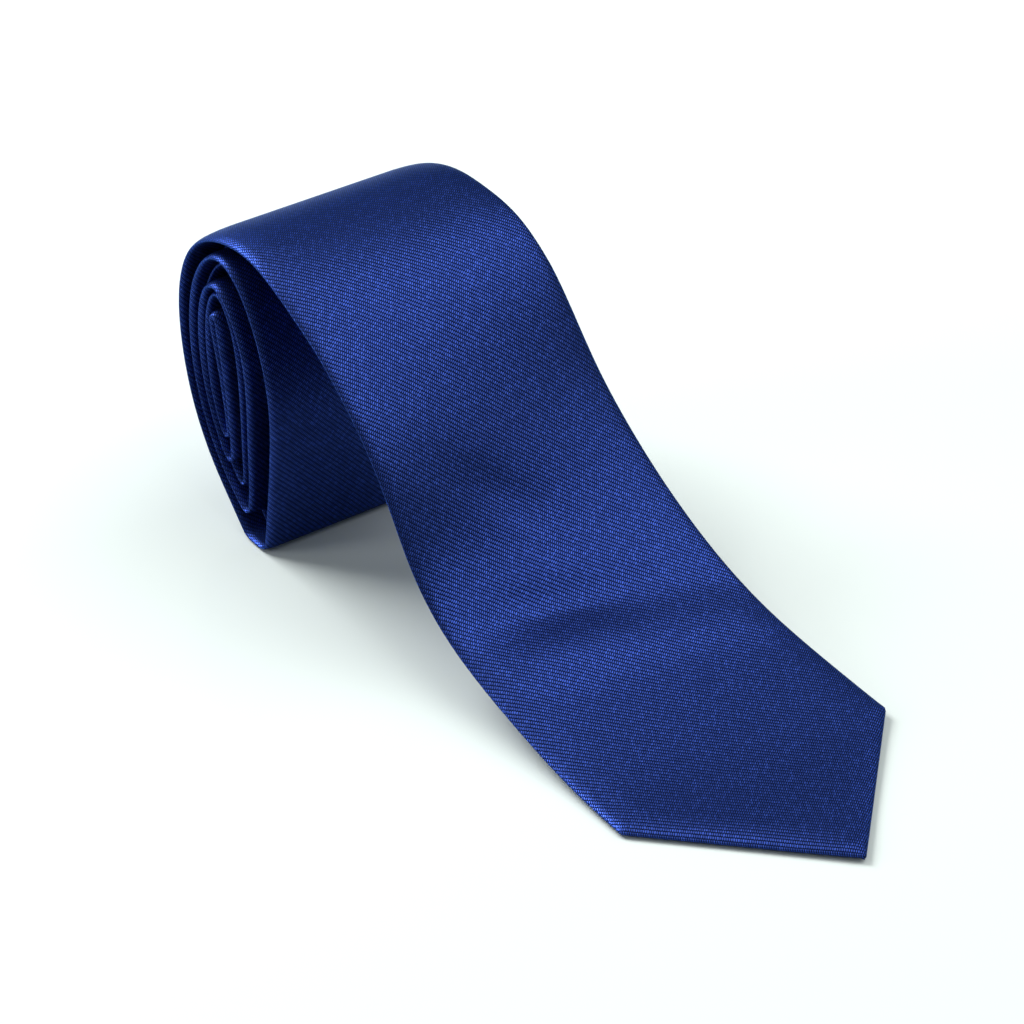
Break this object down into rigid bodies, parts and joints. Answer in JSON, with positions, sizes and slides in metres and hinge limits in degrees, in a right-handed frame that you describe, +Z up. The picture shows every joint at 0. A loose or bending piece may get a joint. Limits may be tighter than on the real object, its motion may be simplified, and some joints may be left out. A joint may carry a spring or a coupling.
{
  "type": "necktie",
  "caption": "Woven satin necktie folded at the neck and rolled up, its front blade drawn out over the roll to lie on its pointed end; the blade lifts at the roll and at its foot.",
  "frame": {"origin": "on the surface the tie lies on, under the middle of the tie's bounding box", "axes": "+X along the drawn-out blade towards its point, +Y along the axis of the roll away from its open near end, +Z up"},
  "size_m": [0.225, 0.0841, 0.0832],
  "materials": {
    "shell": "royal navy ribbed satin twill, cut on the bias, soft sheen",
    "interlining": "brushed wool-blend interlining, matt",
    "tipping": "plain navy lining satin",
    "keeper": "plain woven ribbon, no lettering",
    "thread": "blue sewing thread"
  },
  "bodies": {
    "roll": {"front_shell_roll": "shell", "neck_shell": "shell", "tail_shell_roll": "shell", "interlining_roll": "interlining", "keeper_loop": "keeper", "keeper_loop_tacks": "thread", "slip_stitch_roll": "thread", "front_piecing_seam": "thread", "tail_piecing_seam": "thread"},
    "drape": {"front_shell_drape": "shell", "tail_shell_end": "shell", "interlining_drape": "interlining", "tail_interlining_end": "interlining", "tail_tipping": "tipping", "slip_stitch_drape": "thread", "slip_stitch_tail_end": "thread", "front_bar_tack": "thread", "tail_bar_tack": "thread"},
    "tip": {"front_shell_tip": "shell", "interlining_tip": "interlining", "front_tipping": "tipping"}
  },
  "joints": [
    {"name": "blade_lift", "type": "hinge", "parent": "roll", "child": "drape", "pos_m": [-0.0652, -0.004, 0.0822], "axis": [0, -1, 0], "range_deg": [0, 60]},
    {"name": "tip_lift", "type": "hinge", "parent": "drape", "child": "tip", "pos_m": [0.0352, 0, 0.0098], "axis": [0, -1, 0], "range_deg": [0, 60]}
  ]
}
